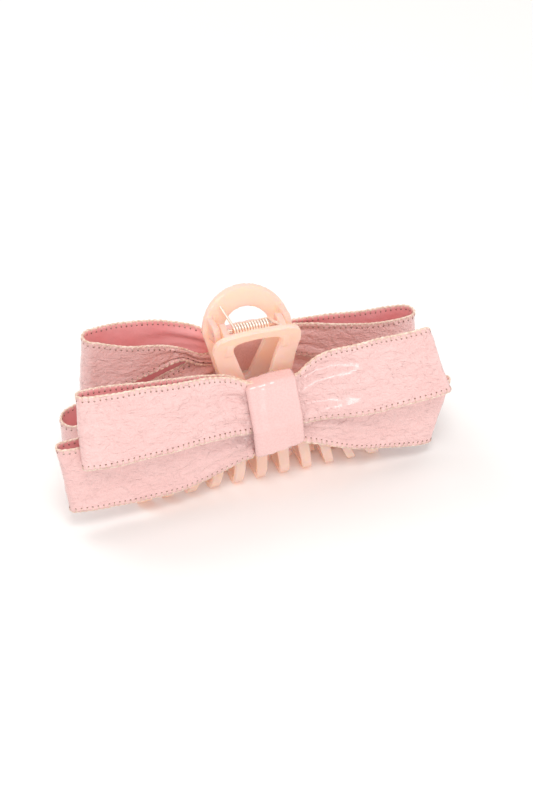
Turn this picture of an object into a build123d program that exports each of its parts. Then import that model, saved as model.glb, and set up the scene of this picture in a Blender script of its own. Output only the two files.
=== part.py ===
"""Bow claw clip: two sprung plastic jaws, each carrying a double ribbon bow.

Frame: +X along the bows, -Y towards the front jaw, +Z up. The origin is at the centre of the
bottom, on the surface that the clip stands on with its jaws closed. Millimetres.
"""

import os
from math import acos, atan2, cos, degrees, hypot, radians, sin

from build123d import *

os.makedirs("parts", exist_ok=True)

REAR = 1
FRONT = -1

# Hinge
HINGE_Z = 65.0
PIN_R = 1.0
PIN_HALF = 14.7
RUNNING_CLEARANCE = 0.05

# Jaw plate, seen from the side as (distance from the middle plane, height)
PLATE_T = 2.2
LEVER_TIP = (15.4, 77.0)
LEVER_ROOT = (6.6, 62.0)
WAIST = (8.6, 38.0)
BELLY = (11.0, 20.0)
LOW_POINT = (6.0, PLATE_T / 2)
TOOTH_TIP = (-2.4, 2.6)
LEVER_SLOPE = (0.52, 0.85)
TOE_STIFFNESS = 1.4

# Jaw outline, seen from the front
RING_HALF_W = 16.7
RING_BAND = 7.8
RING_WIDEST_Z = 61.0
RING_TOP_Z = {REAR: 74.4, FRONT: 72.4}
RING_SQUARENESS = {REAR: 0.55, FRONT: 0.8}
RING_BAND_AT_TOP = 6.0
NECK_HALF_W = 9.5
NECK_Z = 33.0
V_BOTTOM_Z = 36.5
V_BOTTOM_R = 1.6
COMB_SHOULDER_Z = 15.0
COMB_FLARE = 0.55
COMB_FLARE_Z = 26.5
COMB_LEAN_AT_NECK = 0.3
COMB_LEAN_AT_TIP = 0.5

# Teeth
TOOTH_PITCH = 9.6
TOOTH_TIP_W = 3.2
GAP_ROOT_W = 2.8
GAP_FAN = 0.82
GAP_TOP_Z = 21.0
GAP_TOP_DROP = 0.0042
GAP_FOOT_Z = -2.0
FRONT_GAPS = 10
REAR_GAPS = 9

# Hinge lugs: the front jaw's pair sits just inside the rear jaw's pair
LUG_R = 3.4
REAR_LUG_X = (12.25, 14.7)
FRONT_LUG_X = (9.6, 11.95)
LUG_FEET = [(6.6, 60.0), (8.4, 66.0)]

# Torsion spring
WIRE_R = 0.5
COIL_R = 2.1
LEG_R = 0.48
COIL_PITCH = 1.06
COIL_TURNS = 13
LEG_REACH = (8.9, 4.9)
LEG_SPLAY = 2.0

# Ribbons
RIBBON_T = 0.9
EDGE_W = 1.1
PINCH_HALF_X = 9.0
PINCH_RUN = 6.0
PINCH_COVER = 15.0
THIN = 0.02
FOLD_SLOPE = 0.25
END_COVER = 8.0
CUT_DEPTH = 80.0
KNOT_X = {FRONT: 2.5, REAR: 0.0}

# Centre wraps: the space inside each, in the side view as (depth, height)
WRAP_HALF_W = 8.9
WRAP_T = 0.8
THREAD_T = 0.6
THREAD_HALF_W = 1.5
THREAD_GAP = 0.1
PAD_HALF_W = 7.5
PAD_HEIGHTS = (25.0, 35.5)
PAD_ROOTS = (10.2, 8.5)
PAD_TOP_SHARE = 0.4
WIDE = 120.0


class Loop:
    """One side's loop of a ribbon, from the knot out to its far fold.

    Depths are distances from the middle plane at the ribbon's lowest level. The long edges are
    (share of the way out, height) points.
    """

    def __init__(self, end_x, slant, depths, widest_at, fold, low, high):
        self.end_x = end_x
        self.slant = slant
        self.near, self.far = depths
        self.widest_at = widest_at
        self.fold_depth, self.fold_r = fold
        self.low = low
        self.high = high
        self.middle_z = (low[-1][1] + high[-1][1]) / 2


class Ribbon:
    """One ribbon: a closed band of cloth pinched at the knot into a left and a right loop."""

    def __init__(self, name, side, pinch_depth, lean, left, right):
        self.name = name
        self.side = side
        self.knot_x = KNOT_X[side]
        self.pinch_depth = pinch_depth
        self.lean = lean
        self.loops = (left, right)
        heights = [z for loop in self.loops for _, z in loop.low + loop.high]
        self.base_z = min(heights) - 1
        self.top_z = max(heights) + 1


RIBBONS = [
    Ribbon(
        "front_upper", FRONT, 18.9, 0.26,
        Loop(
            -69.5, 0.0, (21.4, 25.5), 0.55, (23.4, 2.2),
            low=[(0, 33.4), (0.3, 34.5), (1, 35.5)],
            high=[(0, 52.0), (0.12, 57.5), (0.45, 62.5), (1, 64.0)],
        ),
        Loop(
            67.0, -0.28, (21.4, 25.5), 0.55, (23.4, 2.2),
            low=[(0, 33.4), (0.3, 33.8), (1, 37.0)],
            high=[(0, 52.0), (0.12, 55.5), (0.45, 61.5), (1, 64.0)],
        ),
    ),
    Ribbon(
        "front_lower", FRONT, 15.7, 0.04,
        Loop(
            -75.2, -0.09, (14.2, 18.6), 0.55, (16.4, 2.2),
            low=[(0, 24.5), (0.12, 16.5), (0.4, 11.0), (1, 9.5)],
            high=[(0, 39.5), (0.3, 39.0), (1, 38.5)],
        ),
        Loop(
            72.6, 0.22, (14.2, 18.6), 0.55, (16.4, 2.2),
            low=[(0, 24.5), (0.12, 20.0), (0.4, 12.5), (1, 9.0)],
            high=[(0, 39.5), (0.3, 38.0), (1, 35.5)],
        ),
    ),
    Ribbon(
        "rear_upper", REAR, 15.8, 0.0,
        Loop(
            -60.0, 0.08, (9.4, 24.8), 0.5, (18.0, 4.6),
            low=[(0, 40.6), (0.3, 39.4), (0.6, 36.4), (1, 34.5)],
            high=[(0, 51.5), (0.15, 56.0), (0.5, 58.5), (1, 61.5)],
        ),
        Loop(
            66.5, 0.0, (3.2, 12.6), 0.72, (7.6, 4.2),
            low=[(0, 40.6), (0.3, 39.4), (0.6, 34.5), (1, 25.5)],
            high=[(0, 51.5), (0.15, 53.0), (0.5, 53.0), (1, 51.5)],
        ),
    ),
    Ribbon(
        "rear_lower", REAR, 15.8, 0.0,
        Loop(
            -70.0, 0.0, (14.4, 25.8), 0.5, (17.6, 6.2),
            low=[(0, 22.6), (0.3, 14.5), (0.6, 8.5), (1, 3.5)],
            high=[(0, 39.4), (0.3, 38.0), (0.6, 33.8), (1, 28.5)],
        ),
        Loop(
            72.0, 0.0, (14.4, 25.8), 0.5, (19.0, 5.2),
            low=[(0, 22.6), (0.3, 14.5), (0.6, 8.5), (1, 3.5)],
            high=[(0, 39.4), (0.3, 38.0), (0.6, 33.8), (1, 28.5)],
        ),
    ),
]

# What each wrap goes round, as (depth, height) corners in the side view
BUNDLES = {
    "front": (FRONT, [(11.9, 52.8), (15.0, 52.8), (20.0, 33.4), (19.2, 23.3), (13.4, 23.3)]),
    "rear": (REAR, [(14.5, 52.3), (17.1, 52.3), (18.2, 36.0), (17.8, 22.0), (14.5, 22.0)]),
}


def write(builder, name):
    """Label one finished node and write its STEP file."""
    builder.part.label = name
    export_step(builder.part, f"parts/{name}.step")


# ---------------------------------------------------------------- jaws


def jaw_side_plate(side):
    """The bent plate's section in the side view, from lever tip to tooth tip."""
    with BuildSketch() as section:
        with BuildLine():
            Spline(
                (side * LEVER_TIP[0], LEVER_TIP[1]),
                (side * LEVER_ROOT[0], LEVER_ROOT[1]),
                (side * WAIST[0], WAIST[1]),
                (side * BELLY[0], BELLY[1]),
                (side * LOW_POINT[0], LOW_POINT[1]),
                tangents=[(-side * LEVER_SLOPE[0], -LEVER_SLOPE[1]), (-side, 0)],
                tangent_scalars=[1.0, TOE_STIFFNESS],
            )
            TangentArc(
                (side * LOW_POINT[0], LOW_POINT[1]),
                (side * TOOTH_TIP[0], TOOTH_TIP[1]),
                tangent=(-side, 0),
            )
        trace(line_width=PLATE_T)
    return section.sketch


def crown_curves(side, half_w, rise):
    """The lever's arch from left to right: round on the rear jaw, squarer on the front jaw."""
    pull = RING_SQUARENESS[side]
    top_z = RING_WIDEST_Z + rise
    shoulder_z = RING_WIDEST_Z + rise * pull
    Bezier((-half_w, RING_WIDEST_Z), (-half_w, shoulder_z), (-half_w * pull, top_z), (0, top_z))
    Bezier((0, top_z), (half_w * pull, top_z), (half_w, shoulder_z), (half_w, RING_WIDEST_Z))


def ring_and_comb_outline(side, gap_count):
    """Lever ring, legs, neck and flared comb in the front view, before the gaps are cut."""
    last_tooth_x = gap_count * TOOTH_PITCH / 2
    foot_x = last_tooth_x + TOOTH_TIP_W / 2
    root_x = last_tooth_x * GAP_FAN + (TOOTH_PITCH * GAP_FAN - GAP_ROOT_W) / 2
    shoulder_share = (COMB_SHOULDER_Z - GAP_FOOT_Z) / (GAP_TOP_Z - GAP_FOOT_Z)
    shoulder_x = foot_x + (root_x - foot_x) * shoulder_share
    flare_x = shoulder_x * COMB_FLARE
    with BuildSketch() as outline:
        with BuildLine():
            Line((-RING_HALF_W, RING_WIDEST_Z), (-NECK_HALF_W, NECK_Z))
            Spline(
                (-NECK_HALF_W, NECK_Z),
                (-flare_x, COMB_FLARE_Z),
                (-shoulder_x, COMB_SHOULDER_Z),
                tangents=[(-COMB_LEAN_AT_NECK, -1), (-COMB_LEAN_AT_TIP, -1)],
            )
            Polyline(
                (-shoulder_x, COMB_SHOULDER_Z),
                (-foot_x, GAP_FOOT_Z),
                (foot_x, GAP_FOOT_Z),
                (shoulder_x, COMB_SHOULDER_Z),
            )
            Spline(
                (shoulder_x, COMB_SHOULDER_Z),
                (flare_x, COMB_FLARE_Z),
                (NECK_HALF_W, NECK_Z),
                tangents=[(-COMB_LEAN_AT_TIP, 1), (-COMB_LEAN_AT_NECK, 1)],
            )
            Line((NECK_HALF_W, NECK_Z), (RING_HALF_W, RING_WIDEST_Z))
            crown_curves(side, RING_HALF_W, RING_TOP_Z[side] - RING_WIDEST_Z)
        make_face()
    return outline.sketch


def ring_opening(side):
    """The one big opening from the lever's arch down to the V above the neck."""
    inner_half = RING_HALF_W - RING_BAND
    inner_rise = RING_TOP_Z[side] - RING_WIDEST_Z - RING_BAND_AT_TOP
    with BuildSketch() as opening:
        with BuildLine():
            crown_curves(side, inner_half, inner_rise)
            Line((-inner_half, RING_WIDEST_Z), (-V_BOTTOM_R, V_BOTTOM_Z + V_BOTTOM_R))
            ThreePointArc(
                (-V_BOTTOM_R, V_BOTTOM_Z + V_BOTTOM_R),
                (0, V_BOTTOM_Z),
                (V_BOTTOM_R, V_BOTTOM_Z + V_BOTTOM_R),
            )
            Line((V_BOTTOM_R, V_BOTTOM_Z + V_BOTTOM_R), (inner_half, RING_WIDEST_Z))
        make_face()
    return opening.sketch


def tooth_gaps(count):
    """Fanned gaps between the teeth, narrow and round at the root, wide at the tips."""
    gap_w = TOOTH_PITCH - TOOTH_TIP_W
    with BuildSketch() as gaps:
        for index in range(count):
            tip_x = (index - (count - 1) / 2) * TOOTH_PITCH
            root_x = tip_x * GAP_FAN
            root_z = GAP_TOP_Z - GAP_TOP_DROP * tip_x**2
            with BuildLine():
                Polyline(
                    (tip_x - gap_w / 2, GAP_FOOT_Z),
                    (root_x - GAP_ROOT_W / 2, root_z),
                    (root_x + GAP_ROOT_W / 2, root_z),
                    (tip_x + gap_w / 2, GAP_FOOT_Z),
                    close=True,
                )
            make_face()
            with Locations((root_x, root_z)):
                Circle(GAP_ROOT_W / 2)
    return gaps.sketch


def lug_profile(side):
    """A lug's side view: a round eye about the pin, run out to the plate."""
    with BuildSketch() as profile:
        with Locations((0, HINGE_Z)):
            Circle(LUG_R)
        for depth, height in LUG_FEET:
            with Locations((side * depth, height)):
                Circle(PLATE_T / 2)
        make_hull()
    return profile.sketch


def build_jaw(name, side, gap_count, lug_span, bore_r):
    """One moulded half: lever ring, legs, two hinge lugs, neck and comb."""
    with BuildPart() as jaw:
        with BuildSketch(Plane.YZ):
            add(jaw_side_plate(side))
        extrude(amount=WIDE, both=True)
        with BuildSketch(Plane.XZ):
            add(ring_and_comb_outline(side, gap_count))
            add(ring_opening(side), mode=Mode.SUBTRACT)
            add(tooth_gaps(gap_count), mode=Mode.SUBTRACT)
        extrude(amount=CUT_DEPTH, both=True, mode=Mode.INTERSECT)
        for direction in (-1, 1):
            start = direction * lug_span[0]
            with BuildSketch(Plane.YZ.offset(start)):
                add(lug_profile(side))
            extrude(amount=direction * (lug_span[1] - lug_span[0]))
        with BuildSketch(Plane.YZ):
            with Locations((0, HINGE_Z)):
                Circle(bore_r)
        extrude(amount=PIN_HALF + 1, both=True, mode=Mode.SUBTRACT)
    write(jaw, name)


# ---------------------------------------------------------------- hinge


def build_pin():
    """Plain steel pin, pressed into the rear jaw's lugs."""
    with BuildPart() as pin:
        with BuildSketch(Plane.YZ.offset(-PIN_HALF)):
            with Locations((0, HINGE_Z)):
                Circle(PIN_R)
        extrude(amount=2 * PIN_HALF)
    write(pin, "hinge_pin")


def leg_tangent_angle():
    """Angle about the pin, in degrees from +Y, at which the rear leg leaves the coil."""
    distance = hypot(*LEG_REACH)
    return degrees(atan2(LEG_REACH[1], LEG_REACH[0]) + acos(COIL_R / distance))


def wire_along(path, radius):
    """Round wire swept along one centre line."""
    with BuildPart() as wire:
        with BuildSketch(Plane(path @ 0, z_dir=path % 0)):
            Circle(radius)
        sweep(path=path, is_frenet=True)
    return wire.part


def build_spring():
    """Torsion spring: closed coils round the pin, and a straight leg splayed out up each lever."""
    angle = leg_tangent_angle()
    turns = COIL_TURNS - (2 * angle - 180) / 360
    start_x = -turns * COIL_PITCH / 2
    across = Vector(0, cos(radians(angle)), sin(radians(angle)))
    start = Plane(origin=(start_x, 0, HINGE_Z), x_dir=across, z_dir=(1, 0, 0))
    coils = start * Helix(COIL_PITCH, COIL_PITCH * turns, COIL_R)
    tangent_y = COIL_R * across.Y
    tangent_z = HINGE_Z + COIL_R * across.Z
    reach_x = start_x - LEG_SPLAY
    reach_z = HINGE_Z + LEG_REACH[1]
    rear_leg = Line((start_x, tangent_y, tangent_z), (reach_x, LEG_REACH[0], reach_z))
    front_leg = Line((-start_x, -tangent_y, tangent_z), (-reach_x, -LEG_REACH[0], reach_z))
    with BuildPart() as spring:
        add(wire_along(coils, WIRE_R))
        add(wire_along(rear_leg, LEG_R))
        add(wire_along(front_leg, LEG_R))
    write(spring, "torsion_spring")


# ---------------------------------------------------------------- ribbons


def loop_face(ribbon, loop, inset):
    """One loop in plan: two bowed layers that meet at the pinch and at the far fold."""
    direction = 1 if loop.end_x > 0 else -1
    side = ribbon.side
    near = side * (loop.near + inset)
    far = side * (loop.far - inset)
    fold_r = loop.fold_r - inset
    fold_y = side * loop.fold_depth
    fold_x = loop.end_x - direction * loop.fold_r
    root_x = ribbon.knot_x + direction * PINCH_HALF_X
    pinch_x = root_x + direction * PINCH_RUN * inset
    pinch_y = side * ribbon.pinch_depth
    pinch_half = side * max(RIBBON_T - inset, THIN)
    widest_x = root_x + (loop.end_x - root_x) * loop.widest_at
    with BuildSketch() as face:
        with BuildLine():
            Spline(
                (pinch_x, pinch_y - pinch_half),
                (widest_x, near),
                (fold_x, fold_y - side * fold_r),
                tangents=[(direction, 0), (direction, side * FOLD_SLOPE)],
            )
            ThreePointArc(
                (fold_x, fold_y - side * fold_r),
                (fold_x + direction * fold_r, fold_y),
                (fold_x, fold_y + side * fold_r),
            )
            Spline(
                (fold_x, fold_y + side * fold_r),
                (widest_x, far),
                (pinch_x, pinch_y + pinch_half),
                tangents=[(-direction, side * FOLD_SLOPE), (-direction, 0)],
            )
            Line((pinch_x, pinch_y + pinch_half), (pinch_x, pinch_y - pinch_half))
        make_face()
    return face.sketch


def edge_points(ribbon, upper, inset):
    """One long edge in the front view from the left fold to the right fold."""
    sign = 1 if upper else -1
    left, right = (loop.high if upper else loop.low for loop in ribbon.loops)
    roots = (ribbon.knot_x - PINCH_HALF_X, ribbon.knot_x + PINCH_HALF_X)
    reaches = [loop.end_x - root for loop, root in zip(ribbon.loops, roots)]
    points = [(roots[0] + reaches[0] * share, z - sign * inset) for share, z in reversed(left)]
    points += [(roots[1] + reaches[1] * share, z - sign * inset) for share, z in right]
    return points


def strip_between(ribbon, lower_edge, upper_edge):
    """The front-view area between two long edges, each given as (is it upper, inset)."""
    low = edge_points(ribbon, *lower_edge)
    high = edge_points(ribbon, *upper_edge)
    left_x = low[0][0] - END_COVER
    right_x = low[-1][0] + END_COVER
    with BuildSketch() as strip:
        with BuildLine():
            Spline(*low, tangents=[(1, 0), (1, 0)])
            Polyline(low[-1], (right_x, low[-1][1]), (right_x, high[-1][1]), high[-1])
            Spline(*high, tangents=[(1, 0), (1, 0)])
            Polyline(high[0], (left_x, high[0][1]), (left_x, low[0][1]), low[0])
        make_face()
    return strip.sketch


def sheared_extrude(ribbon, loop):
    """Raise a loop's plan from the base level, leaning as the cloth does and slanting its fold."""
    direction = Vector(loop.slant, -ribbon.side * ribbon.lean, 1)
    extrude(amount=(ribbon.top_z - ribbon.base_z) * direction.length, dir=direction)


def build_loop(ribbon, loop):
    """One hollow loop, before its long edges are cut."""
    start_x = -loop.slant * (loop.middle_z - ribbon.base_z)
    with BuildPart() as shell:
        with BuildSketch(Plane(origin=(start_x, 0, ribbon.base_z))):
            add(loop_face(ribbon, loop, 0))
            add(loop_face(ribbon, loop, RIBBON_T), mode=Mode.SUBTRACT)
        sheared_extrude(ribbon, loop)
    return shell.part


def build_strip(ribbon, name, lower_edge, upper_edge):
    """The folded band of cloth between two long edges."""
    lean = Vector(0, -ribbon.side * ribbon.lean, 1)
    left, right = ribbon.loops
    with BuildPart() as strip:
        with BuildSketch(Plane.XY.offset(ribbon.base_z)):
            with Locations((ribbon.knot_x, ribbon.side * ribbon.pinch_depth)):
                Rectangle(2 * PINCH_COVER, 2 * RIBBON_T)
        extrude(amount=(ribbon.top_z - ribbon.base_z) * lean.length, dir=lean)
        add(build_loop(ribbon, left))
        add(build_loop(ribbon, right))
        with BuildSketch(Plane.XZ):
            add(strip_between(ribbon, lower_edge, upper_edge))
        extrude(amount=CUT_DEPTH, both=True, mode=Mode.INTERSECT)
    write(strip, name)


def build_ribbon(ribbon):
    """A ribbon and the overlocked thread along each of its long edges."""
    build_strip(ribbon, f"{ribbon.name}_ribbon", (False, EDGE_W), (True, EDGE_W))
    build_strip(ribbon, f"{ribbon.name}_top_edge_stitching", (True, EDGE_W), (True, 0))
    build_strip(ribbon, f"{ribbon.name}_bottom_edge_stitching", (False, 0), (False, EDGE_W))


# ---------------------------------------------------------------- bow centres


def bundle_face(side, corners, grow):
    """The pinched ribbons' outline in the side view, grown evenly with round corners."""
    with BuildSketch() as face:
        with BuildLine():
            Polyline(*[(side * depth, height) for depth, height in corners], close=True)
        make_face()
        offset(amount=grow)
    return face.sketch


def band_round(side, corners, inner_grow, thickness, half_w):
    """A closed band round a bow's knot."""
    with BuildPart() as band:
        with BuildSketch(Plane.YZ.offset(KNOT_X[side])):
            add(bundle_face(side, corners, inner_grow + thickness))
            add(bundle_face(side, corners, inner_grow), mode=Mode.SUBTRACT)
        extrude(amount=half_w, both=True)
    return band.part


def build_centre(place):
    """One bow's gathering thread, its plain centre wrap, and the glue pad that holds it."""
    side, corners = BUNDLES[place]
    wrap_grow = THREAD_T + 2 * THREAD_GAP
    with BuildPart() as thread:
        add(band_round(side, corners, THREAD_GAP, THREAD_T, THREAD_HALF_W))
    write(thread, f"{place}_gathering_thread")

    with BuildPart() as wrap:
        add(band_round(side, corners, wrap_grow, WRAP_T, WRAP_HALF_W))
    write(wrap, f"{place}_centre_wrap")

    wrap_back = corners[0][0] - wrap_grow - WRAP_T
    wrap_back_low = corners[-1][0] - wrap_grow - WRAP_T
    with BuildPart() as pad:
        with BuildSketch(Plane.YZ.offset(KNOT_X[side])):
            with BuildLine():
                Polyline(
                    (side * PAD_ROOTS[0], PAD_HEIGHTS[0]),
                    (side * wrap_back_low, PAD_HEIGHTS[0]),
                    (side * (wrap_back + (wrap_back_low - wrap_back) * PAD_TOP_SHARE), PAD_HEIGHTS[1]),
                    (side * PAD_ROOTS[1], PAD_HEIGHTS[1]),
                    close=True,
                )
            make_face()
        extrude(amount=PAD_HALF_W, both=True)
        with BuildSketch(Plane.YZ):
            add(jaw_side_plate(side))
            add(bundle_face(side, corners, wrap_grow + WRAP_T))
        extrude(amount=WIDE, both=True, mode=Mode.SUBTRACT)
    write(pad, f"{place}_glue_pad")


# ---------------------------------------------------------------- run

build_jaw("rear_jaw", REAR, REAR_GAPS, REAR_LUG_X, PIN_R)
build_jaw("front_jaw", FRONT, FRONT_GAPS, FRONT_LUG_X, PIN_R + RUNNING_CLEARANCE)
build_pin()
build_spring()
for strip in RIBBONS:
    build_ribbon(strip)
for place_name in BUNDLES:
    build_centre(place_name)
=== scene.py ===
"""Visual model of the bow claw clip: crinkled patent ribbons, stitched edges, moulded jaws, spring."""

from math import acos, atan2, cos, pi, radians, sin, tau

import bpy
import numpy as np
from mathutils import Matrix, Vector, noise


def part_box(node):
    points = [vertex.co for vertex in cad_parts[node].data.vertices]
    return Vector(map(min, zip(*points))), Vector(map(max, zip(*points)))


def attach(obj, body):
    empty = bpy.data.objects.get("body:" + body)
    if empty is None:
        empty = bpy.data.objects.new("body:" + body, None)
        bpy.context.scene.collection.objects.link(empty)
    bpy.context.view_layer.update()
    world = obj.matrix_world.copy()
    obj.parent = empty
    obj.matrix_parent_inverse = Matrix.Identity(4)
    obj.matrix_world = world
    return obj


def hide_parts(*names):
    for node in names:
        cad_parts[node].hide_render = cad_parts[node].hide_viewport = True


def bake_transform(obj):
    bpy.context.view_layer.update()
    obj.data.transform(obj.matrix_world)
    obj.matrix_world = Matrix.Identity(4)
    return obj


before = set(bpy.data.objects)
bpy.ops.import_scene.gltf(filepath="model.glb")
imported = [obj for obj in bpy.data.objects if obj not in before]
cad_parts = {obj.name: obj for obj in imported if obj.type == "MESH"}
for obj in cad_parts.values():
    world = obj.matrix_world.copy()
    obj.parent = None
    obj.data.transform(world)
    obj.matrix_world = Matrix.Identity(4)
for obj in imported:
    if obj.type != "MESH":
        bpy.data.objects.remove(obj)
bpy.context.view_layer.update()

MM = 0.001
REAR_BODY = "rear_half"
FRONT_BODY = "front_half"

# ---------------------------------------------------------------- camera and light

CAMERA_AZIMUTH = radians(-18)
CAMERA_ELEVATION = radians(39)
CAMERA_DISTANCE = 0.65
CAMERA_LENS = 80.4
AIM = Vector((0.2, -17.6, 44.4)) * MM

ROOM_COLOUR = (1.0, 0.99, 0.98)
ROOM_STRENGTH = 0.86
EXPOSURE = -0.12
LIGHT_AIM = (0, 0, 0.03)
WARM_WHITE = (1.0, 0.98, 0.96)
NEUTRAL_WHITE = (1.0, 0.98, 0.97)
LIGHTS = [
    ("key", (-0.45, 0.5, 0.9), 0.45, 2.6, WARM_WHITE),
    ("front", (-0.22, -1.1, 0.18), 0.22, 1.6, NEUTRAL_WHITE),
    ("side", (0.9, -0.6, 0.16), 0.18, 1.4, NEUTRAL_WHITE),
    ("top", (-0.1, -0.5, 1.0), 0.35, 4.2, WARM_WHITE),
]
FLOOR_COLOUR = (0.94, 0.93, 0.92)
FLOOR_HALF = 3.0


def make_camera():
    """A long lens that looks down on the front bow from the left."""
    data = bpy.data.cameras.new("camera")
    data.lens = CAMERA_LENS
    data.sensor_width = 36
    data.clip_start = 0.01
    camera = bpy.data.objects.new("camera", data)
    bpy.context.collection.objects.link(camera)
    level = cos(CAMERA_ELEVATION)
    away = Vector(
        (sin(CAMERA_AZIMUTH) * level, -cos(CAMERA_AZIMUTH) * level, sin(CAMERA_ELEVATION))
    )
    camera.location = AIM + away * CAMERA_DISTANCE
    camera.rotation_euler = (-away).to_track_quat("-Z", "Y").to_euler()
    bpy.context.scene.camera = camera


def area_light(name, place, size, power, colour):
    """A square soft box, turned towards the clip."""
    data = bpy.data.lights.new(name, "AREA")
    data.size = size
    data.energy = power
    data.color = colour
    light = bpy.data.objects.new(name, data)
    bpy.context.collection.objects.link(light)
    light.location = place
    light.rotation_euler = (Vector(LIGHT_AIM) - Vector(place)).to_track_quat("-Z", "Y").to_euler()


def make_studio():
    """A pale table in a bright even room, with four soft boxes round the clip."""
    world = bpy.data.worlds.new("room")
    world.use_nodes = True
    background = world.node_tree.nodes["Background"]
    background.inputs["Color"].default_value = (*ROOM_COLOUR, 1)
    background.inputs["Strength"].default_value = ROOM_STRENGTH
    bpy.context.scene.world = world
    for name, place, size, power, colour in LIGHTS:
        area_light(name, place, size, power, colour)
    mesh = bpy.data.meshes.new("floor")
    half = FLOOR_HALF
    corners = [(-half, -half, 0), (half, -half, 0), (half, half, 0), (-half, half, 0)]
    mesh.from_pydata(corners, [], [(0, 1, 2, 3)])
    floor = bpy.data.objects.new("floor", mesh)
    bpy.context.collection.objects.link(floor)
    material, tree, shader = new_material("table_top")
    shader.inputs["Base Color"].default_value = (*FLOOR_COLOUR, 1)
    grain = tree.nodes.new("ShaderNodeTexNoise")
    grain.inputs["Scale"].default_value = 60
    map_range(tree, grain.outputs["Fac"], 0.55, 0.7, shader.inputs["Roughness"])
    mesh.materials.append(material)
    view = bpy.context.scene.view_settings
    view.view_transform = "Standard"
    view.exposure = EXPOSURE


# ---------------------------------------------------------------- materials

FOLD_RELIEF = 2.4 * MM
CELL_RELIEF = 1.2 * MM
PORE_RELIEF = 0.12 * MM


def new_material(name):
    """An empty node material with one Principled shader."""
    material = bpy.data.materials.new(name)
    material.use_nodes = True
    tree = material.node_tree
    return material, tree, tree.nodes["Principled BSDF"]


def map_range(tree, source, low, high, target, source_low=0.3, source_high=0.7):
    """Stretch a texture's value between two limits, into a socket."""
    node = tree.nodes.new("ShaderNodeMapRange")
    node.inputs["From Min"].default_value = source_low
    node.inputs["From Max"].default_value = source_high
    node.inputs["To Min"].default_value = low
    node.inputs["To Max"].default_value = high
    tree.links.new(source, node.inputs["Value"])
    tree.links.new(node.outputs["Result"], target)


def object_coordinates(tree):
    """Places on the piece itself, in metres."""
    return tree.nodes.new("ShaderNodeTexCoord").outputs["Object"]


def noise_texture(tree, place, scale, detail=4.0, distortion=0.0):
    """A noise texture at that many repeats a metre."""
    node = tree.nodes.new("ShaderNodeTexNoise")
    node.inputs["Scale"].default_value = scale
    node.inputs["Detail"].default_value = detail
    node.inputs["Distortion"].default_value = distortion
    tree.links.new(place, node.inputs["Vector"])
    return node


def colour_between(tree, source, low, high, target, low_at=0.35, high_at=0.65):
    """Run a texture's value between two colours, into a socket."""
    ramp = tree.nodes.new("ShaderNodeValToRGB")
    ramp.color_ramp.elements[0].position = low_at
    ramp.color_ramp.elements[0].color = (*low, 1)
    ramp.color_ramp.elements[1].position = high_at
    ramp.color_ramp.elements[1].color = (*high, 1)
    tree.links.new(source, ramp.inputs["Fac"])
    tree.links.new(ramp.outputs["Color"], target)


def bump(tree, height, distance, strength, below=None):
    """A bump node of that depth in metres, on top of another one."""
    node = tree.nodes.new("ShaderNodeBump")
    node.inputs["Distance"].default_value = distance
    node.inputs["Strength"].default_value = strength
    tree.links.new(height, node.inputs["Height"])
    if below is not None:
        tree.links.new(below, node.inputs["Normal"])
    return node.outputs["Normal"]


def patent_leatherette(name, low, high, crinkle, cell):
    """Glossy coated cloth: creases that run mostly along the ribbon, and fine pores."""
    material, tree, shader = new_material(name)
    place = object_coordinates(tree)
    tone = noise_texture(tree, place, 70, 5)
    colour_between(tree, tone.outputs["Fac"], low, high, shader.inputs["Base Color"])
    grain = tree.nodes.new("ShaderNodeMapping")
    grain.inputs["Scale"].default_value = (0.65, 1, 1)
    tree.links.new(place, grain.inputs["Vector"])
    warp = noise_texture(tree, grain.outputs["Vector"], cell * 0.6, 3)
    mixed = tree.nodes.new("ShaderNodeMix")
    mixed.data_type = "VECTOR"
    mixed.inputs["Factor"].default_value = 0.012
    tree.links.new(grain.outputs["Vector"], mixed.inputs["A"])
    tree.links.new(warp.outputs["Color"], mixed.inputs["B"])
    cells = tree.nodes.new("ShaderNodeTexVoronoi")
    cells.feature = "DISTANCE_TO_EDGE"
    cells.inputs["Scale"].default_value = cell
    tree.links.new(mixed.outputs["Result"], cells.inputs["Vector"])
    folds = noise_texture(tree, grain.outputs["Vector"], cell * 0.8, 6, 1.2)
    pores = noise_texture(tree, place, cell * 7, 2)
    clamp = tree.nodes.new("ShaderNodeMath")
    clamp.operation = "SMOOTH_MIN"
    clamp.inputs[1].default_value = 0.2
    clamp.inputs[2].default_value = 0.1
    tree.links.new(cells.outputs["Distance"], clamp.inputs[0])
    normal = bump(tree, folds.outputs["Fac"], FOLD_RELIEF, crinkle)
    normal = bump(tree, clamp.outputs["Value"], CELL_RELIEF, crinkle, normal)
    normal = bump(tree, pores.outputs["Fac"], PORE_RELIEF, crinkle, normal)
    tree.links.new(normal, shader.inputs["Normal"])
    map_range(tree, pores.outputs["Fac"], 0.2, 0.36, shader.inputs["Roughness"])
    shader.inputs["Specular IOR Level"].default_value = 0.55
    shader.inputs["Coat Weight"].default_value = 0.9
    shader.inputs["Coat Roughness"].default_value = 0.16
    add_light_through(tree, shader, (1.0, 0.62, 0.58), 0.1)
    return material


def add_light_through(tree, shader, colour, share):
    """Let some light through a thin piece, in that colour."""
    through = tree.nodes.new("ShaderNodeBsdfTranslucent")
    through.inputs["Color"].default_value = (*colour, 1)
    mix = tree.nodes.new("ShaderNodeMixShader")
    mix.inputs["Fac"].default_value = share
    tree.links.new(shader.outputs["BSDF"], mix.inputs[1])
    tree.links.new(through.outputs["BSDF"], mix.inputs[2])
    tree.links.new(mix.outputs["Shader"], tree.nodes["Material Output"].inputs["Surface"])
    return mix


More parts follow.
